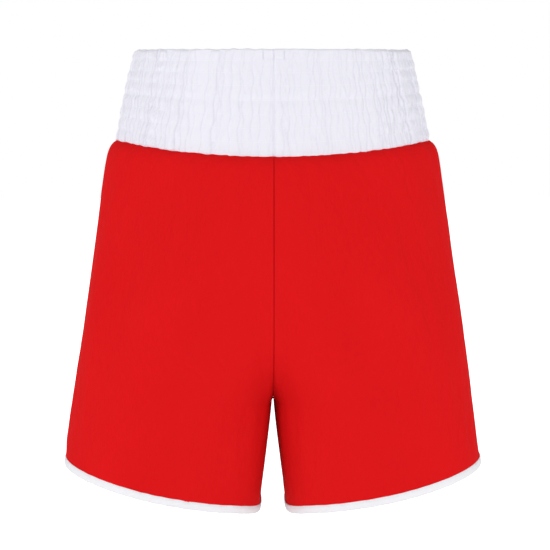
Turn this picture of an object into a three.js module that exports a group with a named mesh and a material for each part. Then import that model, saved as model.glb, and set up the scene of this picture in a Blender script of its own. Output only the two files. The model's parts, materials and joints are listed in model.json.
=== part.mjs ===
// Boxing shorts in their worn shape: two wide legs under a deep, channel-stitched elastic waistband.
// Millimetres, +Z up. The origin is the middle of the waist opening, level with the band's top edge.
// The wearer faces +Y, so the back is at -Y and the wearer's left is at -X.
// Heights are given as drops: how far a point lies below the origin.
import * as THREE from 'three';

// ---- Waistband: outline of its stitched valleys, as half width and depths from the middle ----
const waistHalfWidth = 142.3;
const waistBackDepth = 99;
const waistFrontDepth = 97;
const bandHeight = 108; // at centre back and centre front
const bandSideHeight = 93.5;
const seamHalfWidth = 163; // the band's lower edge, where the shorts' body is sewn on
const seamBackDepth = 108;
const seamFrontDepth = 104;
const channelWeights = [12, 12, 13, 14.5, 14.5, 14, 14, 14]; // relative heights, from the top down
const creaseRow = 4; // the stitch row where the band folds, between the two elastics
const creaseDepth = 0.5;
const channelPuff = 1; // how far a channel stands proud of its stitch rows
const coverWall = 1;
const coverTopWall = 1.2;
const topCornerInset = 0.4; // of the cover's wall, where the rounded top meets each face
const topCornerDrop = 0.25; // of the top wall, how far those corners lie below the crest
const elasticThickness = 2;
const elasticEndGap = 1; // between the two elastics, and below the lower one

// ---- Body: straight side line, depth profiles and the fork between the legs ----
const hipHalfWidth = 172; // the straight side line, at the waist seam
const hemHalfWidth = 219.5; // the same line at the side of the hem
const sideDrop = 433.5; // finished hem at the side seam
const inseamDrop = 478.8; // finished hem at the inseam
const hemCurve = 1.15; // above 1, the hem falls faster near the side seam
const crotchDrop = 366.5;
const hemGapHalf = 13.6; // half the space between the legs at the hem
const hemGapPower = 1.15; // above 1, the legs part slowly just under the crotch
const seamRelease = 5.8; // how quickly the cloth springs out below the waist seam
const forkHeight = 220; // the fork's valley fades out this far above the crotch
const forkStart = 1.5; // shape of the crotch's bend: nearer 1 is flatter, 2 is sharper
const forkFade = 3; // how soon the valley gets shallow above the crotch
const waistRoundness = 2; // superellipse powers: 2 is an ellipse, more is squarer
const legRoundness = 2.35;
const roundnessDrop = 200;
const backDepths = [[100, 115], [220, 124], [370, 114], [478, 108]]; // drop, depth
const frontDepths = [[100, 111], [220, 114], [370, 108], [478, 104]];

// ---- Cloth, tape, seams and thread ----
const clothThickness = 1;
const clearance = 0.3; // between any two pieces that touch
const tapeThickness = 0.8;
const bindingWidth = 8.5;
const bindingStitchInset = 1.6; // topstitching, below the binding's upper edge
const threadThickness = 0.5;
const seamThickness = 1;
const seamWidth = 7;
const waistSeamWidth = 8;
const finThickness = 1.2;
const finClearance = 0.4;
const flatSeamClearance = 0.7; // more than elsewhere, since the cloth curves away behind it

// ---- Labels ----
const waistLabel = { width: 26, height: 11, thickness: 0.4, drop: 2.2 };
const labelStitchWidth = 23;
const labelStitchBottom = 0.9; // of the first channel's height
const labelStitchTop = 1.5; // of the cover's top wall
const labelColumns = 4;
const careLabel = { width: 30, length: 50, layer: 0.3, slot: 0.3, across: -40, belowSeam: 6, seat: 0.5 };

// ---- Fineness of the faceted surfaces ----
const quarterSegments = 14;
const rowsUnderSeam = [0, 0.5, 1, 2, 4]; // below the waist seam, in widths of its allowance
const waistSeamRows = 3; // how many of those the allowance spans
const rowsOverCrotch = [60, 35, 18, 9, 4.5, 2, clothThickness, 0]; // mm above the crotch
const bodyRowsAboveCrotch = 4;
const legRowsBelowCrotch = 3;

const rear = { sign: -1, waistDepth: waistBackDepth, seamDepth: seamBackDepth, depths: backDepths };
const front = { sign: 1, waistDepth: waistFrontDepth, seamDepth: seamFrontDepth, depths: frontDepths };

const cloth = {
  shell: new THREE.MeshStandardMaterial({ color: 0xda161a, roughness: 0.75, metalness: 0 }),
  band: new THREE.MeshStandardMaterial({ color: 0xececf2, roughness: 0.7, metalness: 0 }),
  elastic: new THREE.MeshStandardMaterial({ color: 0xe4e2da, roughness: 0.9, metalness: 0 }),
  binding: new THREE.MeshStandardMaterial({ color: 0xecebee, roughness: 0.6, metalness: 0 }),
  thread: new THREE.MeshStandardMaterial({ color: 0xf2f2f4, roughness: 0.5, metalness: 0 }),
  seam: new THREE.MeshStandardMaterial({ color: 0xc8141a, roughness: 0.85, metalness: 0 }),
  label: new THREE.MeshStandardMaterial({ color: 0xf6f6f4, roughness: 0.4, metalness: 0 }),
};

const mix = (from, to, share) => from + (to - from) * share;
const clamp01 = (value) => Math.min(Math.max(value, 0), 1);
const smooth = (value) => clamp01(value) ** 2 * (3 - 2 * clamp01(value));
const power = (value, exponent) => Math.sign(value) * Math.abs(value) ** exponent;

// ---------------------------------------------------------------- surfaces

// A smooth curve through [drop, value] stations, straight beyond the ends.
function alongStations(stations, drop) {
  const last = stations.length - 1;
  const slope = (i, j) => (stations[j][1] - stations[i][1]) / (stations[j][0] - stations[i][0]);
  const slopeAt = (i) => slope(Math.max(i - 1, 0), Math.min(i + 1, last));
  if (drop <= stations[0][0]) return stations[0][1] + slopeAt(0) * (drop - stations[0][0]);
  if (drop >= stations[last][0]) return stations[last][1] + slopeAt(last) * (drop - stations[last][0]);
  const i = stations.findIndex(([at]) => at > drop) - 1;
  const length = stations[i + 1][0] - stations[i][0];
  const t = (drop - stations[i][0]) / length;
  const rise = t ** 3 - t ** 2;
  return mix(stations[i][1], stations[i + 1][1], smooth(t))
    + length * ((rise - t ** 2 + t) * slopeAt(i) + rise * slopeAt(i + 1));
}

const waistSeamDrop = (angle) => mix(bandHeight, bandSideHeight, Math.cos(angle) ** 2);
const sideLine = (drop) => mix(hipHalfWidth, hemHalfWidth,
  (drop - waistSeamDrop(0)) / (sideDrop - waistSeamDrop(0)));

// The finished hem, which rises from the inseam to the side seam.
function hemDrop(share) {
  const outward = (1 + power(Math.cos(Math.PI * share), 2 / legRoundness)) / 2;
  return mix(inseamDrop, sideDrop, outward ** hemCurve);
}

// A point of the waistband. angle is 0 at the +X side and a quarter turn at the centre front.
function bandPoint(angle, share, inset, lower = 0) {
  const face = Math.sin(angle) < 0 ? rear : front;
  const drop = share * waistSeamDrop(angle) + lower;
  const halfWidth = mix(waistHalfWidth, seamHalfWidth, share) - inset;
  const depth = mix(face.waistDepth, face.seamDepth, share) - inset;
  return new THREE.Vector3(halfWidth * Math.cos(angle), depth * Math.sin(angle), -drop);
}

// The fork at one height: where a leg's section is centred, how far it reaches to each side, and
// the angle at which it meets the middle seam (above the crotch) or the inseam (below it).
function forkAt(overCrotch, halfWidth, inset, roundness) {
  if (overCrotch > 0) {
    const split = (1 - clamp01(overCrotch / forkHeight) ** forkStart) ** forkFade;
    const reach = halfWidth / (1 + split);
    return { reach, centre: split * reach, lastAngle: Math.acos(-(split ** (roundness / 2))) };
  }
  const fullDrop = inseamDrop - crotchDrop;
  const opening = hemGapHalf * (-overCrotch / fullDrop) ** hemGapPower;
  const widening = inset === 0 ? 0 : inset * Math.min(1, -overCrotch / Math.abs(inset));
  const gap = opening + widening;
  return { reach: (halfWidth - gap) / 2, centre: (halfWidth + gap) / 2, lastAngle: Math.PI };
}

// A point of the body as [x, y, z] sizes in the +X half. share is 0 at the side seam and 1 at the
// middle seam or inseam; inset moves the surface inward, so a negative one lies outside the cloth.
function bodyPoint(face, share, drop, inset) {
  const below = Math.max(drop - waistSeamDrop((share * Math.PI) / 2), 0);
  const release = 1 - Math.exp(-below / seamRelease);
  const roundness = mix(waistRoundness, legRoundness, smooth(below / roundnessDrop));
  const halfWidth = mix(seamHalfWidth, sideLine(drop), release) - inset;
  const depth = mix(face.seamDepth, alongStations(face.depths, drop), release) - inset;
  const fork = forkAt(crotchDrop - inset - drop, halfWidth, inset, roundness);
  const angle = share * fork.lastAngle;
  const x = fork.centre + fork.reach * power(Math.cos(angle), 2 / roundness);
  const y = depth * power(Math.sin(angle), 2 / roundness);
  return new THREE.Vector3(Math.max(x, 0), Math.max(y, 0), -drop);
}

// ---------------------------------------------------------------- solids from grids of points

function solid(points, triangles) {
  const volume = triangles.reduce((sum, [a, b, c]) =>
    sum + points[a].dot(points[b].clone().cross(points[c])), 0);
  const outward = volume < 0 ? triangles.map(([a, b, c]) => [a, c, b]) : triangles;
  const geometry = new THREE.BufferGeometry().setFromPoints(points);
  geometry.setIndex(outward.flat());
  geometry.computeVertexNormals();
  return geometry;
}

const quad = (a, b, c, d) => [[a, b, c], [a, c, d]];

// Sections of equally many points, each joined to the next. A loop of sections closes on itself,
// and a run of sections is capped at both ends, with a fan or, for a slab, a strip of quads. A slab's
// two faces are cut along the same diagonals, so that they stay apart where the surface twists.
function loft(sections, { loop = false, slab = false } = {}) {
  const around = sections[0].length;
  const last = sections.length - 1;
  const at = (i, j) => (i % sections.length) * around + (j % around);
  const triangles = [];
  for (let i = 0; i < last + Number(loop); i += 1) {
    for (let j = 0; j < around; j += 1) {
      const corners = [at(i, j), at(i, j + 1), at(i + 1, j + 1), at(i + 1, j)];
      if (slab && j >= around / 2) corners.push(corners.shift());
      triangles.push(...quad(...corners));
    }
  }
  if (!loop) {
    const cap = slab ? stripCap(around) : fanCap(around);
    triangles.push(...cap.map(([a, b, c]) => [at(0, a), at(0, c), at(0, b)]));
    triangles.push(...cap.map((corners) => corners.map((j) => at(last, j))));
  }
  return solid(sections.flat(), triangles);
}

function fanCap(around) {
  return Array.from({ length: around - 2 }, (_, j) => [0, j + 1, j + 2]);
}

// A slab's section runs along its outer face and back along its inner one.
function stripCap(around) {
  const pairs = around / 2;
  return Array.from({ length: pairs - 1 }, (_, j) =>
    quad(j, j + 1, around - 2 - j, around - 1 - j)).flat();
}

const steps = (count, make) => Array.from({ length: count }, (_, i) => make(i, i / count));
const spread = (from, to, count) => steps(count, (_, share) => mix(from, to, share));

// ---------------------------------------------------------------- the waistband

const bandAngles = steps(4 * quarterSegments, (_, share) => share * 2 * Math.PI);
const slotWidth = elasticThickness + 2 * clearance;
const coverThickness = 2 * coverWall + slotWidth;
const channelTotal = channelWeights.reduce((sum, height) => sum + height, 0);
const rowShares = channelWeights.map((_, i) =>
  channelWeights.slice(0, i + 1).reduce((sum, height) => sum + height, 0) / channelTotal);
const stitchRows = rowShares.slice(0, -1);
const creaseShare = stitchRows[creaseRow - 1];
const rowInset = (row) => (row === creaseRow ? creaseDepth : 0);

// A closed ring around the band, from a section of [share of the band's height, inset, mm lower].
function bandRing(section) {
  return loft(bandAngles.map((angle) =>
    section.map(([share, inset, lower]) => bandPoint(angle, share, inset, lower))), { loop: true });
}

// The folded cover: puffed channels outside, a rounded top, and a slot that opens downward.
function waistbandCover() {
  const channels = rowShares.flatMap((share, i) => {
    const above = i === 0 ? 0 : rowShares[i - 1];
    return [[(above + share) / 2, -channelPuff, 0], [share, rowInset(i + 1), 0]];
  });
  const middle = coverThickness / 2;
  const cornerInset = coverWall * topCornerInset;
  const cornerDrop = coverTopWall * topCornerDrop;
  const topOutside = [[0, cornerInset, cornerDrop], [0, -channelPuff / 2, coverTopWall]];
  const wallLine = (inset) => [[1, inset, 0], [creaseShare, inset, 0], [0, inset, coverTopWall]];
  const slot = [...wallLine(coverWall), ...wallLine(coverWall + slotWidth).reverse()];
  const inside = [...wallLine(coverThickness), [0, coverThickness - cornerInset, cornerDrop]];
  return bandRing([[0, middle, 0], ...topOutside, ...channels, ...slot, ...inside]);
}

function waistElastic(fromShare, toShare, lowerTop, raiseBottom) {
  const outer = coverWall + clearance;
  const inner = outer + elasticThickness;
  return bandRing([[fromShare, outer, lowerTop], [toShare, outer, -raiseBottom],
    [toShare, inner, -raiseBottom], [fromShare, inner, lowerTop]]);
}

// One row of stitching: a thread lying in the valley between two channels.
function stitchRow(row) {
  const share = stitchRows[row - 1];
  const near = rowInset(row) - clearance;
  const far = near - threadThickness;
  const half = threadThickness / 2;
  return bandRing([[share, near, -half], [share, far, -half], [share, far, half], [share, near, half]]);
}

// ---------------------------------------------------------------- the body

const bodyTopDrop = bandHeight + clearance;
const bodyBottomDrop = inseamDrop - tapeThickness - clearance;
const bindingTopDrop = inseamDrop - bindingWidth;

// Rows of the body as drops on the middle line: close together where the cloth springs out under
// the waist seam, and around the bend of the crotch.
function bodyRowDrops() {
  const underSeam = rowsUnderSeam.map((widths) => bodyTopDrop + widths * waistSeamWidth);
  const overCrotch = rowsOverCrotch.map((above) => crotchDrop - above);
  const middle = spread(underSeam.at(-1), overCrotch[0], bodyRowsAboveCrotch).slice(1);
  const legs = spread(crotchDrop, bindingTopDrop, legRowsBelowCrotch).slice(1);
  return [...underSeam, ...middle, ...overCrotch, ...legs, bindingTopDrop, bodyBottomDrop];
}

const rowShareOf = (drop) => (drop - bodyTopDrop) / (bodyBottomDrop - bodyTopDrop);
const bodyRows = bodyRowDrops().map(rowShareOf);

// The drop of a body row in the column at share, which runs from that column's seam to its hem.
function columnDrop(row, share) {
  const top = waistSeamDrop((share * Math.PI) / 2) + clearance;
  const bottom = hemDrop(share) - tapeThickness - clearance;
  return mix(top, bottom, row);
}

function placed(point, side, face) {
  return new THREE.Vector3(point.x * side, point.y * face.sign, point.z);
}

// A quarter of the body. It keeps half a clearance away from each seam's plane.
function bodyPanel(side, face) {
  const shares = steps(quarterSegments + 1, (i) => i / quarterSegments);
  const shortOfSeams = (point) => point.max(new THREE.Vector3(clearance / 2, clearance / 2, -Infinity));
  const facePoints = (row, inset) => shares.map((share) =>
    placed(shortOfSeams(bodyPoint(face, share, columnDrop(row, share), inset)), side, face));
  return loft(bodyRows.map((row) =>
    [...facePoints(row, 0), ...facePoints(row, clothThickness).reverse()]), { slab: true });
}

// The overlocked seam allowance under the waistband, lying against the cloth inside.
function waistSeam() {
  const rows = bodyRows.slice(0, waistSeamRows);
  const outer = clothThickness + clearance;
  const section = (angle) => {
    const quarter = Math.PI / 2;
    const share = Math.acos(Math.min(Math.abs(Math.cos(angle)), 1)) / quarter;
    const side = Math.cos(angle) < 0 ? -1 : 1;
    const face = Math.sin(angle) < 0 ? rear : front;
    const at = (row, inset) => placed(bodyPoint(face, share, columnDrop(row, share), inset), side, face);
    const outside = rows.map((row) => at(row, outer));
    const inside = rows.map((row) => at(row, outer + seamThickness));
    return [...outside, ...inside.reverse()];
  };
  return loft(bandAngles.map(section), { loop: true });
}

// A seam allowance that lies flat over a seam in the plane between the back and the front.
function flatSeam(side, share, fromDrop, toDrop) {
  const outer = clothThickness + flatSeamClearance;
  const inner = outer + seamThickness;
  const between = bodyRows.map((row) => columnDrop(row, share))
    .filter((drop) => drop > fromDrop && drop < toDrop);
  const half = seamWidth / 2;
  return loft([fromDrop, ...between, toDrop].map((drop) => {
    const xAt = (inset) => bodyPoint(rear, share, drop, inset).x * side;
    return [[outer, -half], [outer, half], [inner, half], [inner, -half]].map(([inset, y]) =>
      new THREE.Vector3(xAt(inset), y, -drop));
  }));
}

function sideSeam(side) {
  const top = columnDrop(bodyRows[waistSeamRows - 1], 0) + clearance;
  return flatSeam(side, 0, top, sideDrop - bindingWidth - clearance);
}

function inseam(side) {
  const top = crotchDrop + seamThickness + clearance;
  return flatSeam(side, 1, top, bindingTopDrop - clearance);
}

// The rise seam: one standing allowance from centre back, under the crotch, to centre front.
function riseSeam() {
  const near = clothThickness + finClearance;
  const far = near + seamWidth;
  const half = finThickness / 2;
  const top = columnDrop(bodyRows[waistSeamRows - 1], 1) + clearance;
  const shares = bodyRowDrops().filter((drop) => drop >= top && drop <= crotchDrop)
    .map((drop) => (drop - top) / (crotchDrop - top));
  const corners = [[near, -half], [near, half], [far, half], [far, -half]];
  const section = (face, share) => corners.map(([inset, x]) => {
    const drop = mix(top, crotchDrop - inset, share);
    return new THREE.Vector3(x, bodyPoint(face, 1, drop, inset).y * face.sign, -drop);
  });
  const down = [0, ...shares];
  const up = down.slice(0, -1).reverse();
  return loft([...down.map((share) => section(rear, share)), ...up.map((share) => section(front, share))]);
}

// ---------------------------------------------------------------- hem binding

// A closed ring around a hem, from a section of [mm above the finished hem, inset].
function hemRing(side, section) {
  const stations = [
    ...steps(quarterSegments, (i) => [rear, i / quarterSegments]),
    ...steps(quarterSegments, (i) => [front, 1 - i / quarterSegments]),
  ];
  return loft(stations.map(([face, share]) => section.map(([above, inset]) =>
    placed(bodyPoint(face, share, hemDrop(share) - above, inset), side, face))), { loop: true });
}

// The folded tape: a U around the raw edge of the cloth, with the fold at the hem.
function hemBinding(side) {
  const [outFace, outBack] = [-clearance - tapeThickness, -clearance];
  const [inBack, inFace] = [clothThickness + clearance, clothThickness + clearance + tapeThickness];
  return hemRing(side, [
    [bindingWidth, outFace], [0, outFace], [0, inFace], [bindingWidth, inFace],
    [bindingWidth, inBack], [tapeThickness, inBack], [tapeThickness, outBack], [bindingWidth, outBack],
  ]);
}

function hemStitch(side) {
  const near = -2 * clearance - tapeThickness;
  const far = near - threadThickness;
  const top = bindingWidth - bindingStitchInset;
  const bottom = top - threadThickness;
  return hemRing(side, [[top, near], [top, far], [bottom, far], [bottom, near]]);
}

// ---------------------------------------------------------------- labels

// Angles around centre back whose points lie evenly across the given width of the band's top edge.
function anglesAcrossBack(width) {
  const count = labelColumns;
  return steps(count + 1, (i) => {
    const x = width * (i / count - 0.5);
    return -Math.PI / 2 + Math.asin(x / waistHalfWidth);
  });
}

// The blank woven label inside the top edge at centre back.
function waistLabelPatch() {
  const outer = coverThickness + clearance;
  const inner = outer + waistLabel.thickness;
  const bottom = waistLabel.drop + waistLabel.height;
  return loft(anglesAcrossBack(waistLabel.width).map((angle) => [
    bandPoint(angle, 0, outer, waistLabel.drop), shadowed(angle, outer, bottom),
    shadowed(angle, inner, bottom), bandPoint(angle, 0, inner, waistLabel.drop),
  ]));
}

// A point that follows the band's lean, the given distance below its top edge.
function shadowed(angle, inset, below) {
  return bandPoint(angle, below / waistSeamDrop(angle), inset);
}

// The label's stitching as it shows outside: down, along just above the first row, and up again.
function waistLabelStitch() {
  const angles = anglesAcrossBack(labelStitchWidth);
  const firstRow = stitchRows[0];
  const bottom = firstRow * labelStitchBottom;
  const outside = (share) => -channelPuff * Math.min(1, 2 * Math.min(share, firstRow - share) / firstRow);
  const drops = [labelStitchTop * coverTopWall / bandHeight, firstRow / 2, bottom];
  const path = [
    ...drops.map((share) => [angles[0], share]),
    ...angles.slice(1, -1).map((angle) => [angle, bottom]),
    ...drops.map((share) => [angles.at(-1), share]).reverse(),
  ];
  return threadAlong(path.map(([angle, share]) =>
    bandPoint(angle, share, outside(share) - clearance - threadThickness / 2)));
}

// A square thread along points of the rear of the band, whose outside faces -Y.
function threadAlong(points) {
  const outward = new THREE.Vector3(0, -1, 0);
  const half = threadThickness / 2;
  return loft(points.map((point, i) => {
    const before = points[Math.max(i - 1, 0)];
    const after = points[Math.min(i + 1, points.length - 1)];
    const across = after.clone().sub(before).normalize().cross(outward).normalize();
    return [[-half, -half], [half, -half], [half, half], [-half, half]].map(([a, b]) =>
      point.clone().addScaledVector(across, a).addScaledVector(outward, b));
  }));
}

// The care label: a folded satin loop that hangs from the waist seam, inside beside centre back.
function careLabelLoop() {
  const { width, length, layer, slot } = careLabel;
  const half = layer + slot / 2;
  const fold = new THREE.Shape();
  fold.moveTo(-half, 0);
  fold.lineTo(-half, half - length);
  fold.absarc(0, half - length, half, Math.PI, 2 * Math.PI, false);
  fold.lineTo(half, 0);
  fold.lineTo(slot / 2, 0);
  fold.lineTo(slot / 2, half - length);
  fold.lineTo(-slot / 2, half - length);
  fold.lineTo(-slot / 2, 0);
  fold.closePath();
  const geometry = new THREE.ExtrudeGeometry(fold, { depth: width, bevelEnabled: false, curveSegments: 4 });
  geometry.translate(0, 0, -width / 2);
  geometry.rotateX(Math.PI / 2);
  geometry.rotateZ(Math.PI / 2);
  return geometry;
}

// Where the care label hangs: its top edge is clear of the seam behind it at both of its corners.
function careLabelPlace() {
  const { across, width, layer, slot, belowSeam, seat } = careLabel;
  const angleAt = (x) => -Math.acos(x / seamHalfWidth);
  const drop = waistSeamDrop(angleAt(across)) + belowSeam;
  const inset = clothThickness + clearance + seamThickness + seat + layer + slot / 2;
  const corner = (x) => {
    const share = Math.acos(Math.abs(x) / seamHalfWidth) / (Math.PI / 2);
    return placed(bodyPoint(rear, share, drop, inset), Math.sign(x), rear);
  };
  const first = corner(across - width / 2);
  const second = corner(across + width / 2);
  const turn = Math.atan2(second.y - first.y, second.x - first.x);
  return { middle: first.clone().add(second).multiplyScalar(0.5), turn };
}

// ---------------------------------------------------------------- assembly

const shorts = new THREE.Group();

function add(name, geometry, material) {
  const mesh = new THREE.Mesh(geometry, material);
  mesh.name = name;
  shorts.add(mesh);
  return mesh;
}

add('waistband_cover', waistbandCover(), cloth.band);
const elasticTopGap = coverTopWall + clearance;
add('waist_elastic_upper', waistElastic(0, creaseShare, elasticTopGap, elasticEndGap / 2), cloth.elastic);
add('waist_elastic_lower', waistElastic(creaseShare, 1, elasticEndGap / 2, elasticEndGap), cloth.elastic);
stitchRows.forEach((_, i) => add(`waistband_stitch_row_${i + 1}`, stitchRow(i + 1), cloth.thread));
add('waist_seam', waistSeam(), cloth.seam);
add('rise_seam', riseSeam(), cloth.seam);

for (const [name, side] of [['left', -1], ['right', 1]]) {
  add(`back_panel_${name}`, bodyPanel(side, rear), cloth.shell);
  add(`front_panel_${name}`, bodyPanel(side, front), cloth.shell);
  add(`side_seam_${name}`, sideSeam(side), cloth.seam);
  add(`inseam_${name}`, inseam(side), cloth.seam);
  add(`hem_binding_${name}`, hemBinding(side), cloth.binding);
  add(`hem_stitch_${name}`, hemStitch(side), cloth.thread);
}

add('waist_label', waistLabelPatch(), cloth.label);
add('waist_label_stitch', waistLabelStitch(), cloth.thread);
const careLabelMesh = add('care_label', careLabelLoop(), cloth.label);
const { middle, turn } = careLabelPlace();
careLabelMesh.position.copy(middle);
careLabelMesh.rotation.z = turn;

export default shorts;
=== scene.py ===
"""Boxing shorts in their worn shape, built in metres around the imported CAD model.

The surfaces follow the same formulas as the CAD part. Heights are drops below the origin, which is
the middle of the waist opening. The back is at -Y and the wearer's left is at -X.
"""

import json
import math

import bpy
import numpy as np
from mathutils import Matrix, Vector


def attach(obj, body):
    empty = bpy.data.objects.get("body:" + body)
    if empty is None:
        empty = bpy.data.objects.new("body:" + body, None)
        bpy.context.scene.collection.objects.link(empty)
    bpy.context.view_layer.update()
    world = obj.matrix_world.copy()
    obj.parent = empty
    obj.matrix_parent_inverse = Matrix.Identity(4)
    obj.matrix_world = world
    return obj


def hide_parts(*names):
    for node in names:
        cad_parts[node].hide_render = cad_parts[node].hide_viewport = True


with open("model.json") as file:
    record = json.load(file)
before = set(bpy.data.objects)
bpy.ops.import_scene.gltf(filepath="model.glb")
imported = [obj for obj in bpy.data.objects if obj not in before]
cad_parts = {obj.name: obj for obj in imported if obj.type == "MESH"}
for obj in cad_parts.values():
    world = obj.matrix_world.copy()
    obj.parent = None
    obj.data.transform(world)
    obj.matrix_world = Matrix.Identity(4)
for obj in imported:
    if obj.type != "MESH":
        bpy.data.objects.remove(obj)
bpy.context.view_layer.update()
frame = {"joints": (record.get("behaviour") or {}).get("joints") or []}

# ---------- sizes, as in the CAD part

WAIST_HALF_WIDTH = 0.1423
SEAM_HALF_WIDTH = 0.163
BAND_HEIGHT = 0.108
BAND_SIDE_HEIGHT = 0.0935
CHANNEL_WEIGHTS = (12, 12, 13, 14.5, 14.5, 14, 14, 14)  # their heights, in proportion
CREASE_ROW = 4  # the stitch row where the band folds a little and its two elastics meet
COVER_WALL = 0.001
COVER_TOP_WALL = 0.0012
SLOT_WIDTH = 0.0026
ELASTIC_THICKNESS = 0.002
ELASTIC_END_GAP = 0.001

HIP_HALF_WIDTH = 0.172
HEM_HALF_WIDTH = 0.2195
SIDE_DROP = 0.4335
INSEAM_DROP = 0.4788
HEM_CURVE = 1.45
HEM_RISE = 0.0018
HEM_DIP = 0.005  # how far the hem sags near the inseam
HEM_DIP_FROM = 0.7
CROTCH_DROP = 0.3665
HEM_GAP_HALF = 0.0136
HEM_GAP_POWER = 1.15
SEAM_RELEASE = 0.0058
FORK_HEIGHT = 0.220
FORK_START = 1.5
FORK_FADE = 3
WAIST_ROUNDNESS = 2
LEG_ROUNDNESS = 2.35
INNER_ROUNDNESS = 3.1  # the same, towards the middle seam
ROUNDNESS_DROP = 0.200

CLOTH_THICKNESS = 0.001
CLEARANCE = 0.0003
TAPE_THICKNESS = 0.0008
BINDING_WIDTH = 0.0085
BINDING_STITCH_INSET = 0.0016
THREAD_RADIUS = 0.00022
SEAM_WIDTH = 0.007
WAIST_SEAM_WIDTH = 0.008

REAR = {"sign": -1, "waist": 0.099, "seam": 0.108,
        "depths": ((0.100, 0.115), (0.220, 0.124), (0.370, 0.114), (0.478, 0.108))}
FRONT = {"sign": 1, "waist": 0.097, "seam": 0.104,
         "depths": ((0.100, 0.111), (0.220, 0.114), (0.370, 0.108), (0.478, 0.104))}

CROTCH_ROW = (CROTCH_DROP - BAND_HEIGHT) / (INSEAM_DROP - BAND_HEIGHT)
MM = 0.001
QUARTER = math.pi / 2
SIDES = (("left", -1), ("right", 1))


def mix(low, high, share):
    return low + (high - low) * share


def smooth(share):
    share = np.clip(share, 0, 1)
    return share * share * (3 - 2 * share)


def power(value, exponent):
    return np.sign(value) * np.abs(value) ** exponent


def along_stations(stations, drop):
    """A smooth curve through (drop, value) stations, straight beyond the ends."""
    at, value = np.array(stations).T
    last = len(at) - 1
    order = np.arange(last + 1)
    before, after = np.maximum(order - 1, 0), np.minimum(order + 1, last)
    slope = (value[after] - value[before]) / (at[after] - at[before])
    held = np.clip(drop, at[0], at[-1])
    i = np.clip(np.searchsorted(at, held, "right") - 1, 0, last - 1)
    length = at[i + 1] - at[i]
    t = (held - at[i]) / length
    rise = t ** 3 - t ** 2
    curve = mix(value[i], value[i + 1], smooth(t))
    curve = curve + length * ((rise - t ** 2 + t) * slope[i] + rise * slope[i + 1])
    return curve + (drop - held) * np.where(drop < at[0], slope[0], slope[-1])


def waist_seam_drop(angle):
    return mix(BAND_HEIGHT, BAND_SIDE_HEIGHT, np.cos(angle) ** 2)


def side_line(drop):
    top = waist_seam_drop(0)
    return mix(HIP_HALF_WIDTH, HEM_HALF_WIDTH, (drop - top) / (SIDE_DROP - top))


def hem_drop(share):
    """The finished hem, from the side seam to the inseam, where it hangs lowest."""
    outward = (1 + power(np.cos(np.pi * share), 2 / LEG_ROUNDNESS)) / 2
    dip = HEM_DIP * smooth((share - HEM_DIP_FROM) / (1 - HEM_DIP_FROM))
    return mix(INSEAM_DROP - HEM_RISE, SIDE_DROP, outward ** HEM_CURVE) + dip


def band_point(angle, share, inset, lower=0.0):
    """A point of the waistband: angle 0 is the +X side and a quarter turn is the centre front."""
    angle, share, inset, lower = np.broadcast_arrays(angle, share, inset, lower)
    rear = np.sin(angle) < 0
    waist = np.where(rear, REAR["waist"], FRONT["waist"])
    seam = np.where(rear, REAR["seam"], FRONT["seam"])
    x = (mix(WAIST_HALF_WIDTH, SEAM_HALF_WIDTH, share) - inset) * np.cos(angle)
    y = (mix(waist, seam, share) - inset) * np.sin(angle)
    return np.stack([x, y, -(share * waist_seam_drop(angle) + lower)], axis=-1)


def fork_at(over, half_width, inset, roundness):
    """The legs' section at one height: its reach, its centre and the angle of its middle end."""
    split = (1 - np.clip(over / FORK_HEIGHT, 0, 1) ** FORK_START) ** FORK_FADE
    under = np.maximum(-over, 0)
    opening = HEM_GAP_HALF * (under / (INSEAM_DROP - CROTCH_DROP)) ** HEM_GAP_POWER
    widening = inset * np.minimum(1, under / np.maximum(np.abs(inset), 1e-9))
    gap = opening + widening
    above = over > 0
    reach = np.where(above, half_width / (1 + split), (half_width - gap) / 2)
    centre = np.where(above, split * half_width / (1 + split), (half_width + gap) / 2)
    last = np.where(above, np.arccos(-(split ** (roundness / 2))), np.pi)
    return reach, centre, last


def body_point(face, share, drop, inset=0.0):
    """A point of the body in its +X quarter; share is 0 at the side seam and 1 at the middle."""
    share, drop = np.broadcast_arrays(share, drop)
    below = np.maximum(drop - waist_seam_drop(share * QUARTER), 0)
    release = 1 - np.exp(-below / SEAM_RELEASE)
    squarer = mix(LEG_ROUNDNESS, INNER_ROUNDNESS, smooth((share - 0.4) / 0.5))
    roundness = mix(WAIST_ROUNDNESS, squarer, smooth(below / ROUNDNESS_DROP))
    half_width = mix(SEAM_HALF_WIDTH, side_line(drop), release) - inset
    depth = mix(face["seam"], along_stations(face["depths"], drop), release) - inset
    reach, centre, last = fork_at(CROTCH_DROP - inset - drop, half_width, inset, roundness)
    angle = share * last
    x = np.maximum(centre + reach * power(np.cos(angle), 2 / roundness), 0)
    y = np.maximum(depth * power(np.sin(angle), 2 / roundness), 0)
    return np.stack([x, y * face["sign"], -drop], axis=-1)


# ---------- meshes from grids of points


def body_round(rear, share, drop, inset):
    """Points of the body, at the back where rear is true and at the front elsewhere."""
    behind, ahead = (body_point(face, share, drop, inset) for face in (REAR, FRONT))
    return np.where(rear[:, None], behind, ahead)


def unit(vectors):
    return vectors / np.maximum(np.linalg.norm(vectors, axis=-1, keepdims=True), 1e-12)


def grid_faces(rows, columns, wrap_rows=False, wrap_columns=False):
    """Quads joining a grid of rows x columns points, numbered row by row."""
    i = np.arange(rows if wrap_rows else rows - 1)
    j = np.arange(columns if wrap_columns else columns - 1)
    i, j = (a.ravel() for a in np.meshgrid(i, j, indexing="ij"))
    i2, j2 = (i + 1) % rows, (j + 1) % columns
    return np.stack([i * columns + j, i * columns + j2, i2 * columns + j2, i2 * columns + j], 1)


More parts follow.
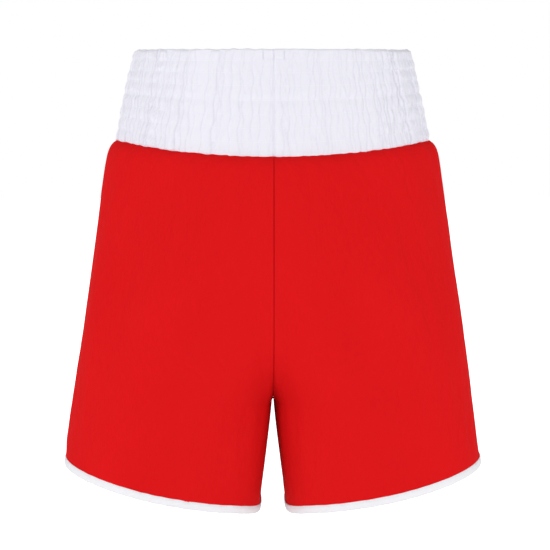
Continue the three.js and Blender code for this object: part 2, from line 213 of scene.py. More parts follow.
def make_mesh(name, points, faces, cloth=None):
    """A shaded smooth object. cloth holds each face corner's place on the flat cloth, in metres."""
    points, faces = np.asarray(points, float).reshape(-1, 3), np.asarray(faces, int)
    a, b, c = (points[faces[:, k]] for k in range(3))
    d = points[faces[:, -1]]
    if (np.cross(b - a, c - a) * a + np.cross(c - a, d - a) * a).sum() < 0:
        faces = faces[:, ::-1]
        cloth = None if cloth is None else cloth[:, ::-1]
    mesh = bpy.data.meshes.new(name)
    mesh.from_pydata([], [], [])
    mesh.vertices.add(len(points))
    mesh.vertices.foreach_set("co", points.astype(np.float32).ravel())
    sides = faces.shape[1]
    mesh.loops.add(faces.size)
    mesh.loops.foreach_set("vertex_index", faces.astype(np.int32).ravel())
    mesh.polygons.add(len(faces))
    mesh.polygons.foreach_set("loop_start", np.arange(0, faces.size, sides, dtype=np.int32))
    mesh.polygons.foreach_set("use_smooth", np.ones(len(faces), bool))
    if cloth is not None:
        layer = mesh.uv_layers.new(name="cloth")
        layer.data.foreach_set("uv", np.asarray(cloth, np.float32).ravel())
    mesh.update(calc_edges=True)
    mesh.validate()
    obj = bpy.data.objects.new(name, mesh)
    bpy.context.scene.collection.objects.link(obj)
    return obj


def lengths_along(points, axis):
    """Distance travelled over a grid of points along one of its axes, from 0."""
    step = np.linalg.norm(np.diff(points, axis=axis), axis=-1)
    start = np.zeros_like(np.take(step, [0], axis=axis))
    return np.concatenate([start, np.cumsum(step, axis=axis)], axis=axis)


def at_lengths(points, along, spots):
    """The points of a path at the given distances along it."""
    return np.stack([np.interp(spots, along, points[:, k]) for k in range(3)], -1)


def grid_normals(points, outward):
    """Normals of a grid of points, on the side that the outward vectors point to."""
    across = np.gradient(points, axis=1)
    down = np.gradient(points, axis=0)
    normals = unit(np.cross(across, down))
    return normals * np.sign((normals * outward).sum(-1, keepdims=True) + 1e-12)


def ring_mesh(name, sections, cloth_round):
    """A closed ring from a grid of section points x stations, which closes both ways."""
    count, stations = sections.shape[:2]
    faces = grid_faces(count, stations, True, True)
    around = np.linspace(0, cloth_round, stations + 1)
    closed = np.concatenate([sections, sections[:1]])
    down = lengths_along(closed, 0)[:, :1].repeat(stations, 1)
    i, j = np.divmod(faces[:, 0], stations)
    u0, u1 = around[j], around[j + 1]
    v0, v1 = down[i, j], down[i + 1, j]
    cloth = np.stack([np.stack(p, -1) for p in ((u0, v0), (u1, v0), (u1, v1), (u0, v1))], 1)
    return make_mesh(name, sections, faces, cloth)


def slab_mesh(name, outer, inner):
    """A closed sheet from two grids of points, with a rim between them."""
    rows, columns = outer.shape[:2]
    count = rows * columns
    skin = grid_faces(rows, columns)
    index = np.arange(count).reshape(rows, columns)
    rim = np.concatenate([index[0, :-1], index[:-1, -1], index[-1, :0:-1], index[:0:-1, 0]])
    rim_next = np.roll(rim, -1)
    rim_faces = np.stack([rim_next, rim, rim + count, rim_next + count], 1)
    faces = np.concatenate([skin, skin[:, ::-1] + count, rim_faces])
    cloth = np.stack([lengths_along(outer, 1), lengths_along(outer, 0)], -1).reshape(-1, 2)
    cloth = np.concatenate([cloth, cloth])
    return make_mesh(name, np.concatenate([outer.reshape(-1, 3), inner.reshape(-1, 3)]),
                     faces, cloth[faces])


# ---------- irregular cloth


def ripples(seed, count, shortest, longest):
    """A smooth random function of one length, from -1 to 1 or so, with the given wavelengths."""
    random = np.random.default_rng(seed)
    waves = 1 / random.uniform(1 / longest, 1 / shortest, count)
    phases = random.uniform(0, 2 * np.pi, count)

    def height(at):
        total = sum(np.cos(2 * np.pi * at / w + p) for w, p in zip(waves, phases))
        return total * math.sqrt(2 / count) / 1.4
    return height


def swells(seed, count, across, down):
    """A smooth random function of two lengths, with wavelengths near across and down."""
    random = np.random.default_rng(seed)
    waves = [(random.uniform(0.5, 1.5) / across * random.choice([-1, 1]),
              random.uniform(0, 1.3) / down, random.uniform(0, 2 * np.pi)) for _ in range(count)]

    def height(u, v):
        total = sum(np.cos(2 * np.pi * (a * u + b * v) + p) for a, b, p in waves)
        return total * math.sqrt(2 / count) / 1.4
    return height


WANDER = 0.16  # of the pitch, how far a crease strays sideways as it runs
WANDER_TURNS = 3.3


def gathers(seed, length, pitch):
    """Rounded puffs between sharp creases round a channel: a function of place and channel share."""
    random = np.random.default_rng(seed)
    count = int(length / pitch)
    steps = random.uniform(0.45, 1.6, count)
    creases = np.concatenate([[0], np.cumsum(steps)]) / steps.sum() * length
    heights = (steps / steps.mean()) ** 0.7 * random.uniform(0.35, 1.15, count)
    lean = random.normal(0, 0.6, count + 1) * pitch
    lean[0] = lean[-1] = 0
    peak = random.uniform(0.3, 0.7, count)
    reach = random.uniform(0.35, 0.9, count)
    phase = random.uniform(0, 1, count + 1)
    phase[-1] = phase[0]

    def height(at, share):
        leaning = at - np.interp(at, creases, lean) * (share - 0.5)
        wander = np.sin(2 * np.pi * (WANDER_TURNS * share + np.interp(at, creases, phase)))
        leaning = leaning + WANDER * pitch * wander
        leaning = np.mod(leaning, length)
        k = np.clip(np.searchsorted(creases, leaning, "right") - 1, 0, count - 1)
        place = (leaning - creases[k]) / (creases[k + 1] - creases[k])
        arch = np.clip(4 * place * (1 - place), 0, 1) ** 0.42
        held = np.exp(-((share - peak[k]) / reach[k]) ** 2)
        return heights[k] * arch * held
    return height


# ---------- the waistband

BAND_STATIONS = 1500
CHANNEL_STEPS = 6
CHANNEL_BULGE = 0.00012
GATHER_HEIGHT = 0.0030
GATHER_PITCH = 0.0068
GATHER_FLOOR = 0.0008  # how far the gathers' creases lie under the band's plain surface
CREASE_SHADE_BEND = 0.00045  # how much a crease bends over one step to get the full painted shade
FOLD_DEPTH = 0.0006
FOLD_REACH = 0.034
GATHER_MIX = (0.62, 0.25, 0.26, 0.08)  # running through, crossing, in one channel, and fine
BAND_LENGTH = 0.80  # round the band, as sewn
BACK_JOIN_HALF = 0.0009
BACK_JOIN_DEPTH = 0.0011
TOP_WAVE = 0.0005
BOTTOM_WAVE = 0.0006
LIP_DROP = 0.0004
CREST = 0.0014  # height of the rounded top fold
INSIDE_SHARE = 0.6  # how full the gathers are inside, of those outside
RIBS = 26  # of an elastic
RIB_HEIGHT = 0.00012
RIB_ROOM = 0.00015

channel_ends = np.cumsum((0,) + CHANNEL_WEIGHTS) / sum(CHANNEL_WEIGHTS)
stitch_rows = channel_ends[1:-1]
cover_thickness = 2 * COVER_WALL + SLOT_WIDTH
LABEL_STITCH_WIDTH = 0.023
LABEL_STITCH_SHARE = stitch_rows[0] * 0.9  # of the band's height, where the label's stitching ends
HELD_HALF, HELD_FADE = 0.019, 0.005  # round the band, how much of it the label holds flat
HELD_SHARE, HELD_SHARE_FADE = 0.17, 0.04  # the same, of the band's height
IMPRESSION_DEPTH, IMPRESSION_HALF = 0.0011, 0.0009
band_angles = -QUARTER + np.linspace(0, 2 * np.pi, BAND_STATIONS, endpoint=False)


def band_lengths(angles):
    """The distance round the middle of the band's height from centre back to each angle."""
    points = band_point(angles, 0.5, 0.0)
    closed = np.concatenate([points, points[:1]])
    step = np.linalg.norm(np.diff(closed, axis=0), axis=1)
    total = step.sum()
    return np.concatenate([[0], np.cumsum(step)[:-1]]), total


band_at, band_round = band_lengths(band_angles)


def to_the_side():
    """0 over the middle of the band's back and front, where it is stretched most, and 1 at its sides."""
    return smooth((np.abs(np.cos(band_angles)) - 0.5) / 0.38)


def channel_surface(seed):
    """How far one face of the band stands out: shares of its height, and a row of heights for each."""
    shares, rows = [], []
    through = gathers(seed + 60, band_round, GATHER_PITCH)
    crossing = gathers(seed + 61, band_round, GATHER_PITCH * 1.7)
    slow = 1 + 0.35 * ripples(seed + 50, 9, 0.03, 0.2)(band_at)
    strength = mix(0.50, 1.35, to_the_side()) * slow
    fold = FOLD_DEPTH * (1 + 0.7 * ripples(seed + 51, 9, 0.05, 0.22)(band_at))
    for i in range(len(CHANNEL_WEIGHTS)):
        puffs = gathers(seed + i, band_round, GATHER_PITCH)
        fine = gathers(seed + 20 + i, band_round, GATHER_PITCH * 0.6)
        last = i == len(CHANNEL_WEIGHTS) - 1
        for k in range(CHANNEL_STEPS + int(last)):
            t = k / CHANNEL_STEPS
            share = mix(channel_ends[i], channel_ends[i + 1], t)
            bulge = np.sin(np.pi * t) ** 0.75
            parts = (through(band_at, share), crossing(band_at, 1 - share),
                     puffs(band_at, t), fine(band_at, t))
            gather = sum(part * weight for part, weight in zip(parts, GATHER_MIX))
            folded = fold * np.exp(-((share - stitch_rows[CREASE_ROW - 1]) / FOLD_REACH) ** 2)
            height = CHANNEL_BULGE * bulge + GATHER_HEIGHT * (0.9 + 0.1 * bulge) * strength * gather
            rows.append(np.maximum(height - folded, 0) - GATHER_FLOOR)
            shares.append(share)
    return np.array(shares), np.array(rows)


def edge_wave(seed, height):
    """How far the band's edge rises and falls round the band."""
    return height * (0.6 * ripples(seed, 14, 0.010, 0.030)(band_at)
                     + 0.5 * ripples(seed + 1, 8, 0.04, 0.12)(band_at))


def from_centre_back():
    """The distance round the band from centre back, the nearer way."""
    return np.minimum(band_at, band_round - band_at)


def under_label(shares):
    """1 where the waist label holds the band's inner face flat, fading to 0 round it."""
    across = smooth((HELD_HALF - from_centre_back()) / HELD_FADE)
    return smooth((HELD_SHARE - shares[:, None]) / HELD_SHARE_FADE) * across


def label_impression(shares):
    """How far the label's box stitch pulls the band's outer face in."""
    across, below = from_centre_back(), shares[:, None] * BAND_HEIGHT
    bottom = LABEL_STITCH_SHARE * BAND_HEIGHT
    beside = np.abs(across - LABEL_STITCH_WIDTH / 2) + np.maximum(below - bottom, 0)
    under = np.abs(below - bottom) + np.maximum(across - LABEL_STITCH_WIDTH / 2, 0)
    return IMPRESSION_DEPTH * np.exp(-(np.minimum(beside, under) / IMPRESSION_HALF) ** 2)


def join_groove():
    """The depth of the join at centre back, where the band's ends are sewn together."""
    return BACK_JOIN_DEPTH * np.exp(-(from_centre_back() / BACK_JOIN_HALF) ** 2)


def outer_face():
    """The band's outer face, flatter over the label and pulled in by its stitching."""
    shares, rows = channel_surface(100)
    return shares, rows * (1 - 0.7 * under_label(shares)) - label_impression(shares)


band_outside = outer_face()


def on_band(angle, share):
    """A point on the outside of the gathered band."""
    shares, rows = band_outside
    column = np.round(np.mod(angle + QUARTER, 2 * np.pi) / (2 * np.pi) * BAND_STATIONS).astype(int)
    rise = np.array([np.interp(s, shares, rows[:, c % BAND_STATIONS])
                     for s, c in zip(*np.broadcast_arrays(share, column))])
    return band_point(angle, share, -rise)


def waistband_cover():
    """The folded cover: gathered channels on both faces, a rounded top and a slot below."""
    shares, outer_rows = band_outside
    _, inner_rows = channel_surface(200)
    inner_rows = inner_rows * (1 - under_label(shares))
    top_wave, bottom_wave = edge_wave(310, TOP_WAVE), edge_wave(320, BOTTOM_WAVE)
    groove = join_groove()

    def row(share, inset, lower=0.0):
        wave = top_wave * (1 - share) ** 6 + bottom_wave * share ** 8
        return band_point(band_angles, share, inset + groove * (inset < COVER_WALL), lower + wave)

    outside = [row(s, -rows) for s, rows in zip(shares[1:], outer_rows[1:])]
    lip = COVER_WALL / 2
    bottom = [row(1, lip, LIP_DROP), row(1, COVER_WALL, 0.0)]
    slot_out = [row(s, COVER_WALL) for s in (0.75, 0.5, 0.25)] + [row(0, COVER_WALL, COVER_TOP_WALL)]
    slot_in = [row(0, COVER_WALL + SLOT_WIDTH, COVER_TOP_WALL)]
    slot_in += [row(s, COVER_WALL + SLOT_WIDTH) for s in (0.25, 0.5, 0.75)]
    bottom_in = [row(1, COVER_WALL + SLOT_WIDTH), row(1, cover_thickness - lip, LIP_DROP)]
    inside = [row(s, cover_thickness + rows * INSIDE_SHARE)
              for s, rows in zip(shares[:0:-1], inner_rows[:0:-1])]
    turns = np.linspace(0, np.pi, 9)[1:-1]
    half = cover_thickness / 2
    crest = [row(0, half + (half - 0.5 * outer_rows[1]) * np.cos(turn), CREST - CREST * np.sin(turn))
             for turn in turns]
    sections = np.array(outside + bottom + slot_out + slot_in + bottom_in + inside + crest)
    cover = ring_mesh("band_cover", sections, BAND_LENGTH)
    # painted shade: marks the creases of the outer face, where the material darkens the band's colour
    paint_crease_shade(cover, outer_rows[1:])
    return cover


def paint_crease_shade(piece, heights):
    """Stores how sharply each point of the first rows lies in a crease, as the mask for shade painted into
    the material's colour there.
    """
    bend = np.roll(heights, 1, 1) + np.roll(heights, -1, 1) - 2 * heights
    painted_crease_shade = np.clip(bend / CREASE_SHADE_BEND, 0, 1) * mix(0.6, 1.0, to_the_side())
    painted_crease_shade = 0.5 * painted_crease_shade + 0.25 * (np.roll(painted_crease_shade, 1, 1) + np.roll(painted_crease_shade, -1, 1))
    values = np.zeros(len(piece.data.vertices), np.float32)
    values[:painted_crease_shade.size] = painted_crease_shade.ravel()
    piece.data.attributes.new("painted_crease_shade", "FLOAT", "POINT").data.foreach_set("value", values)


def elastic(name, from_share, to_share, lower_top, raise_bottom):
    """A woven elastic web with ribs running round it."""
    t = np.linspace(0, 1, 2 * RIBS + 1)
    rib = RIB_HEIGHT * np.sin(np.pi * t * RIBS) ** 2
    outer, inner = COVER_WALL + CLEARANCE, COVER_WALL + CLEARANCE + ELASTIC_THICKNESS
    angles = band_angles[::6]
    ruffle = 0.00008 * ripples(90, 12, 0.004, 0.02)(band_at[::6])

    def row(share, inset):
        lower = mix(lower_top, -raise_bottom, share)
        return band_point(angles, mix(from_share, to_share, share), inset, lower)
    outside = [row(s, outer + RIB_ROOM - r - ruffle) for s, r in zip(t, rib)]
    inside = [row(s, inner - RIB_ROOM + r - ruffle) for s, r in zip(t[::-1], rib[::-1])]
    return ring_mesh(name, np.array(outside + inside), BAND_LENGTH)


# ---------- threads

THREAD_SIDES = 6
STITCH_SINK = 0.0005
STITCH_DUTY = 0.72  # share of its pitch that one stitch takes up
BAND_STITCH, BINDING_STITCH, LABEL_STITCH = 0.0031, 0.0028, 0.0022  # stitch lengths


def thread_stitches(name, path, outward, pitch, radius=THREAD_RADIUS):
    """A row of lockstitches: short threads that rise from the cloth and dip back into it."""
    along = lengths_along(path[:, None], 0)[:, 0]
    count = max(int(along[-1] / pitch), 1)
    rise = np.array([-1.0, -0.1, 0.25, 0.32, 0.25, -0.1, -1.0]) * STITCH_SINK
    spots = np.arange(count)[:, None] + 0.5 + (np.linspace(0, 1, len(rise)) - 0.5) * STITCH_DUTY
    at = spots * along[-1] / count
    out = unit(at_lengths(outward, along, at))
    spine = at_lengths(path, along, at) + out * rise[:, None]
    forward = unit(np.gradient(spine, axis=1))
    side = unit(np.cross(forward, out))
    up = np.cross(side, forward)
    girth = radius * np.array([0.6, 1, 1, 1, 1, 1, 0.6])[:, None, None]
    points = spine[:, :, None] + rings(side, up, THREAD_SIDES) * girth
    return tube_set(name, points, np.repeat(at[:, :, None], THREAD_SIDES, 2))


def rings(side, up, count):
    """Unit circles of count points, in the plane of each pair of directions."""
    turn = np.linspace(0, 2 * np.pi, count, endpoint=False)[:, None]
    return side[:, :, None] * np.cos(turn) + up[:, :, None] * np.sin(turn)


def tube_set(name, points, along):
    """Tubes from an array of tubes x rings x sides points, each closed at both ends."""
    tubes, rings, sides = points.shape[:3]
    wall = grid_faces(rings, sides, False, True)
    start = np.arange(tubes)[:, None, None] * rings * sides
    faces = (wall[None] + start).reshape(-1, 4)
    j = np.arange(0, sides - 2, 2)
    cap = np.stack([np.zeros_like(j), j + 1, j + 2, (j + 3) % sides], 1)
    low = (cap[None, :, ::-1] + start).reshape(-1, 4)
    high = (cap[None] + start + (rings - 1) * sides).reshape(-1, 4)
    faces = np.concatenate([faces, low, high])
    turn = np.broadcast_to(np.arange(sides) * 0.0003, points.shape[:3])
    cloth = np.stack([along, turn], -1).reshape(-1, 2)
    return make_mesh(name, points, faces, cloth[faces])


def band_stitch_row(row):
    angles = np.append(band_angles, band_angles[0] + 2 * np.pi)
    path = on_band(angles, stitch_rows[row - 1])
    outward = unit(path * (1, 1, 0))
    return thread_stitches(f"band_stitch_{row}", path, outward, BAND_STITCH)


def binding_stitch(side_name, side):
    share, rear = hem_stations(360)
    above = BINDING_WIDTH - BINDING_STITCH_INSET
    path = body_round(rear, share, hem_drop(share) - above, -BINDING_PROUD) * (side, 1, 1)
    path = np.concatenate([path, path[:1]])
    centre = path.mean(0)
    outward = unit((path - centre) * (1, 1, 0))
    return thread_stitches(f"binding_stitch_{side_name}", path, outward, BINDING_STITCH)


# ---------- hem binding


def hem_stations(count):
    """Shares round a leg opening, and where they are at the back."""
    there = np.arange(count // 2) / (count // 2)
    return np.concatenate([there, 1 - there]), np.arange(count) < count // 2


BINDING_PROUD = 0.0008  # how far the pressed tape stands out from the cloth's plain surface
BINDING_LAYER = 0.00065
BINDING_FOLD = 0.16  # share of its height where the tape starts to turn round the edge
BINDING_PUFF = 0.00022
BINDING_SEAT = 0.0003  # how far its stitches and its upper edge are pressed in
BINDING_LENGTH = 0.62  # round a leg opening
CLOTH_IN_BINDING = 0.0003  # how far the cloth moves out to fill the tape's fold


def hem_binding(side_name, side):
    """Tape folded round the raw edge, a little fuller between its stitches and its fold."""
    share, rear = hem_stations(440)
    hem = hem_drop(share)
    along = lengths_along(body_round(rear, share, hem, 0.0)[:, None], 0)[:, 0]
    wave = 0.00016 * ripples(400 + side, 12, 0.012, 0.05)(along)
    pucker = 0.00009 * ripples(410 + side, 20, 0.0028, 0.006)(along)
    outer, inner = -BINDING_PROUD, CLOTH_THICKNESS + CLEARANCE + TAPE_THICKNESS
    middle, reach = (outer + inner) / 2, (inner - outer) / 2
    up = np.linspace(1, BINDING_FOLD, 9)

    def full(t):
        seat = np.exp(-((t - 1 + BINDING_STITCH_INSET / BINDING_WIDTH) / 0.07) ** 2)
        pressed = BINDING_SEAT * seat + BINDING_SEAT * smooth((t - 0.8) / 0.2)
        return BINDING_PUFF * np.sin(np.pi * t) - pressed

    rows = [(BINDING_WIDTH * t, outer - full(t)) for t in up]
    turn = np.linspace(0, np.pi, 9)[1:-1]
    rows += [(BINDING_WIDTH * BINDING_FOLD * (1 - np.sin(a)), middle - reach * np.cos(a)) for a in turn]
    rows += [(BINDING_WIDTH * t, inner + full(t)) for t in up[::-1]]
    gap_in, gap_out = CLOTH_THICKNESS + CLEARANCE, BINDING_LAYER - BINDING_PROUD
    rows += [(BINDING_WIDTH, gap_in), (TAPE_THICKNESS, gap_in), (TAPE_THICKNESS, gap_out),
             (BINDING_WIDTH, gap_out)]
    grid = []
    for above, inset in rows:
        loose = wave + pucker * (above > BINDING_WIDTH / 2)
        loop = body_round(rear, share, hem - above - wave, inset - loose * (inset < 0))
        grid.append(loop * (side, 1, 1))
    return ring_mesh(f"binding_{side_name}", np.array(grid), BINDING_LENGTH)


# ---------- the body's panels

PANEL_COLUMNS = 150
SEAM_ROLL = 0.0014  # width over which a panel turns in at its seam
SEAM_DEPTH = 0.0012
INSEAM_ROLL_SHARE = 0.2  # of that depth, between the legs
INSEAM_ROLL_FADE = 0.010
SHEET = 0.0006  # the cloth's own thickness
PANEL_INSET = 0.0002
SEAM_COLUMNS = np.array([0, 0.0012, 0.0026, 0.0045, 0.0075])  # width shares close to a seam
INNER_COLUMNS = (0.0125, 0.9875)
TUCK_ROW, TUCK_DEPTH = 0.0044, 0.0016  # the cloth's top edge, above the seam and behind the band
SEAM_FADE, HEM_FADE = 0.014, 0.03  # how far from a seam and from the hem the folds are full
FORK_FADE_IN, FORK_FROM, FORK_SIDE_FADE = 0.030, 0.72, 0.15
FORK_CALM, FORK_DRAW = 0.8, 0.0006  # between the legs: share of the folds taken out, and cloth drawn in
MIDDLE_GAP = 0.00008  # from the planes where the panels meet
PUCKER_ROUND, PUCKER_PITCH = 0.30, 0.013
EASED_RANGE = 0.16  # of the rows, over which the bend at crotch level is eased


def panel_rows():
    """Row shares of a panel: close under the waist seam and round the bend of the crotch."""
    top = np.array([-TUCK_ROW, -TUCK_ROW / 2, 0.0])
    under = np.linspace(0, 0.07, 24)[1:]
    near = np.array([60, 45, 34, 26, 20, 15, 11, 8, 5.6, 3.6, 2.0, 0.9, 0.0]) * MM
    near = CROTCH_ROW - near / (INSEAM_DROP - BAND_HEIGHT)
    middle = np.linspace(under[-1], near[0], 74)[1:]
    below = CROTCH_ROW + (1 - CROTCH_ROW) * np.linspace(0, 1, 40)[1:]
    return np.concatenate([top, under, middle, near[1:], below])


def body_panel(side_name, side, face_name, face):
    """A quarter of the body, with turned-in seam edges, soft folds and puckers under the band."""
    rows = panel_rows()
    inner_columns = np.linspace(*INNER_COLUMNS, PANEL_COLUMNS - 2 * len(SEAM_COLUMNS))
    shares = np.concatenate([SEAM_COLUMNS, inner_columns, 1 - SEAM_COLUMNS[::-1]])
    share, row = np.meshgrid(shares, rows)
    top = waist_seam_drop(share * QUARTER)
    bottom = hem_drop(share) - TAPE_THICKNESS - CLEARANCE
    drop = mix(top, bottom, row)
    flow = relaxed(body_point(face, share, drop), share, rows)
    outward = flow - flow.mean((0, 1)) * (0.9, 0, 0)
    normals = grid_normals(flow, outward * (1, 1, 0.2))
    u = lengths_along(flow, 1)
    v = np.maximum(drop - top, 0)
    width = u[:, -1:]
    to_edge = np.minimum(u, width - u)
    normals = seam_normals(flow, normals, u, drop, face)
    lift = panel_lift(panel_folds(side, face, u, v), share, drop, to_edge, bottom - drop)
    lift = lift - seam_roll(to_edge, width - u < u, drop) - PANEL_INSET
    lift = lift - TUCK_DEPTH * smooth(-row / TUCK_ROW)
    outer = flow + normals * lift[..., None]
    inner = outer - normals * SHEET
    for points in (outer, inner):
        points[..., 0] = np.maximum(points[..., 0], MIDDLE_GAP)
        points[..., 1] = face["sign"] * np.maximum(points[..., 1] * face["sign"], MIDDLE_GAP)
    mirror = (side, 1, 1)
    return slab_mesh(f"{face_name}_cloth_{side_name}", outer * mirror, inner * mirror)


def panel_lift(folds, share, drop, to_edge, to_hem):
    """How far a panel's cloth stands out: its folds fade towards its edges and between the legs."""
    at_fork = smooth((drop - CROTCH_DROP) / FORK_FADE_IN + 1) * smooth((share - FORK_FROM) / FORK_SIDE_FADE)
    at_fork = at_fork * smooth(to_hem / HEM_FADE)
    lift = folds * smooth(to_edge / SEAM_FADE) * smooth(to_hem / HEM_FADE)
    lift = lift * (1 - FORK_CALM * at_fork) - FORK_DRAW * at_fork
    return lift + CLOTH_IN_BINDING * smooth(1.6 - to_hem / BINDING_WIDTH)


def seam_roll(to_edge, nearer_middle, drop):
    """How far a panel's edges turn in at its seams, which is less between the legs."""
    flatness = 1 - np.clip(to_edge / SEAM_ROLL, 0, 1)
    roll = SEAM_DEPTH * (1 - np.sqrt(np.clip(1 - flatness ** 2, 0, 1)))
    between_legs = smooth((drop - CROTCH_DROP) / INSEAM_ROLL_FADE + 1) * nearer_middle
    return roll * mix(1.0, INSEAM_ROLL_SHARE, between_legs)


def seam_normals(points, normals, u, drop, face):
    """Normals that turn into the plane of the middle seam where they near it, above the crotch."""
    seam = points[:, -1]
    run = np.gradient(seam, axis=0) * (0, 1, 1)
    across = unit(np.stack([run[:, 0], -run[:, 2], run[:, 1]], -1))
    across *= np.where((across * (0, face["sign"], -1)).sum(-1) < 0, -1, 1)[:, None]
    near = smooth(1 - (u[:, -1:] - u) / 0.012) * (drop <= CROTCH_DROP)
    return unit(mix(normals, across[:, None], near[..., None]))


def relaxed(points, share, rows):
    """The grid with the sharp change of slope at crotch level eased, away from the fork itself."""
    reach = 10
    even = np.linspace(rows[0], rows[-1], 260)
    kernel = np.exp(-np.linspace(-2, 2, 2 * reach + 1) ** 2)
    kernel /= kernel.sum()
    eased = np.empty_like(points)
    for column in range(points.shape[1]):
        for k in (0, 1):
            line = np.interp(even, rows, points[:, column, k])
            padded = np.concatenate([np.full(reach, line[0]), line, np.full(reach, line[-1])])
            eased[:, column, k] = np.interp(rows, even, np.convolve(padded, kernel, "valid"))
    near = np.exp(-((rows - CROTCH_ROW) / EASED_RANGE) ** 2)[:, None] * smooth((0.93 - share) / 0.25)
    result = points.copy()
    result[..., :2] = mix(points[..., :2], eased[..., :2], (near * smooth(share / 0.1))[..., None])
    return result


def panel_folds(side, face, u, v):
    """Puckers under the band and soft folds below, at u across the cloth and v down it."""
    seed = 500 + 7 * side + 3 * face["sign"]
    pucker = gathers(seed, PUCKER_ROUND, PUCKER_PITCH)(np.mod(u, PUCKER_ROUND), 0.5) - 0.2
    under_band = 0.0010 * pucker * np.exp(-v / 0.016) * smooth(v / 0.003)
    wide = 0.5 * ripples(seed + 1, 9, 0.018, 0.06)(u) + 0.3
    longer = 0.0010 * wide * np.exp(-v / 0.055) * smooth(v / 0.006)
    drape = 0.0016 * swells(seed + 2, 14, 0.11, 0.50)(u, v) * smooth((v - 0.03) / 0.12)
    creases = 0.00035 * swells(seed + 3, 26, 0.030, 0.12)(u, v) * smooth(v / 0.05)
    fine = 0.00012 * swells(seed + 4, 30, 0.010, 0.030)(u, v)
    return under_band + longer + drape + creases + fine


# ---------- allowances inside

OVERLOCK_PITCH = 0.0026
OVERLOCK_RADIUS = 0.00016
ALLOWANCE = 0.0005  # thickness of its two pressed layers
FLAT_SEAM_INSET = 0.0030
WAIST_SEAM_INSET = 0.00195
FIN_NEAR = 0.0026
FIN_FAR = 0.0084


def allowance(name, edge, free, outward):
    """A sewn allowance: pressed layers of cloth from its seam line to its free edge."""
    steps = np.linspace(0, 1, 6)[:, None, None]
    middle = mix(edge[None], free[None], steps)
    along = lengths_along(edge[:, None], 0)[:, 0]
    wave = 0.00012 * ripples(len(edge), 10, 0.006, 0.03)(along)
    middle = middle + outward[None] * (wave[None, :, None] * steps)
    lift = outward[None] * (ALLOWANCE / 2)
    return slab_mesh(name, middle + lift, middle - lift)


def overlock(name, edge, free, outward):
    """Thread loops that wrap an allowance's free edge."""
    along = lengths_along(free[:, None], 0)[:, 0]
    count = int(along[-1] / OVERLOCK_PITCH)
    at = (np.arange(count) + 0.5) / count * along[-1]
    half = ALLOWANCE / 2 + OVERLOCK_RADIUS * 0.8
    stops = [(0.45, 1.0, 0.0), (0.8, 1.05, 0.25), (1.0, 0.75, 0.5), (1.06, 0.0, 0.6),
             (1.0, -0.75, 0.7), (0.8, -1.05, 0.85), (0.45, -1.0, 1.0)]
    pieces = []
    for reach, rise, shift in stops:
        spot = at + (shift - 0.5) * OVERLOCK_PITCH * 0.8
        root, tip, out = (at_lengths(p, along, spot) for p in (edge, free, outward))
        pieces.append(mix(root, tip, reach) + out * half * rise)
    spine = np.stack(pieces, 1)
    forward = unit(np.gradient(spine, axis=1))
    side = at_lengths(unit(np.gradient(free, axis=0)), along, at)[:, None]
    side = unit(side - forward * (forward * side).sum(-1, keepdims=True))
    up = np.cross(forward, side)
    points = spine[:, :, None] + rings(side, up, 4) * OVERLOCK_RADIUS
    length = np.broadcast_to(np.linspace(0, 0.01, spine.shape[1])[None, :, None], points.shape[:3])
    return tube_set(name, points, length)


def waist_seam_lines():
    """The waist allowance's edges, right round the body just under the band."""
    angles = np.append(band_angles[::4], band_angles[0] + 2 * np.pi)
    share = np.arccos(np.clip(np.abs(np.cos(angles)), 0, 1)) / QUARTER
    top = waist_seam_drop(angles)
    mirror = np.where(np.cos(angles)[:, None] < 0, (-1, 1, 1), 1)

    def line(below):
        return body_round(np.sin(angles) < 0, share, top + below, WAIST_SEAM_INSET) * mirror
    edge, free = line(0.0005), line(WAIST_SEAM_WIDTH)
    return edge, free, unit(edge * (1, 1, 0))


def flat_seam_lines(side, share, from_drop, to_drop):
    """An allowance pressed flat over a seam in the plane between the back and the front."""
    drops = np.linspace(from_drop, to_drop, 160)
    middle = body_point(REAR, share, drops, FLAT_SEAM_INSET) * (side, 0, 1)
    outward = np.broadcast_to((float(side) if share < 0.5 else -float(side), 0, 0), middle.shape)
    return middle - (0, SEAM_WIDTH / 2, 0), middle + (0, SEAM_WIDTH / 2, 0), outward


def rise_seam_lines():
    """The standing allowance from centre back, under the crotch, to centre front."""
    top = BAND_HEIGHT + WAIST_SEAM_WIDTH + CLEARANCE
    shares = 1 - np.linspace(1, 0, 120) ** 2

    def line(inset):
        drops = mix(top, CROTCH_DROP - inset, shares)
        behind, ahead = (body_point(face, 1, drops, inset) * (0, 1, 1) for face in (REAR, FRONT))
        return np.concatenate([behind, ahead[-2::-1]])
    edge, free = line(FIN_NEAR), line(FIN_FAR)
    return edge, free, np.broadcast_to((1.0, 0, 0), edge.shape)


# ---------- labels

LABEL_WIDTH = 0.026
LABEL_HEIGHT = 0.011
LABEL_THICKNESS = 0.0004
LABEL_DROP = 0.0022
LABEL_THREAD = 0.00028
CARE_WIDTH = 0.030
CARE_LENGTH = 0.050
CARE_LAYER = 0.00028
CARE_SLOT = 0.0004
CARE_CURL = 0.0009
CARE_STEPS = 40


def waist_label():
    """The blank woven label inside the top edge at centre back."""
    angles = -QUARTER + np.arcsin(np.linspace(-0.5, 0.5, 40) * LABEL_WIDTH / WAIST_HALF_WIDTH)
    drops = (LABEL_DROP + np.linspace(0, LABEL_HEIGHT, 18))[:, None] / BAND_HEIGHT
    bow = 0.00012 * ripples(700, 6, 0.006, 0.02)((angles + QUARTER) * WAIST_HALF_WIDTH)
    inset = cover_thickness + CLEARANCE + bow
    return slab_mesh("size_label", band_point(angles, drops, inset),
                     band_point(angles, drops, inset + LABEL_THICKNESS))


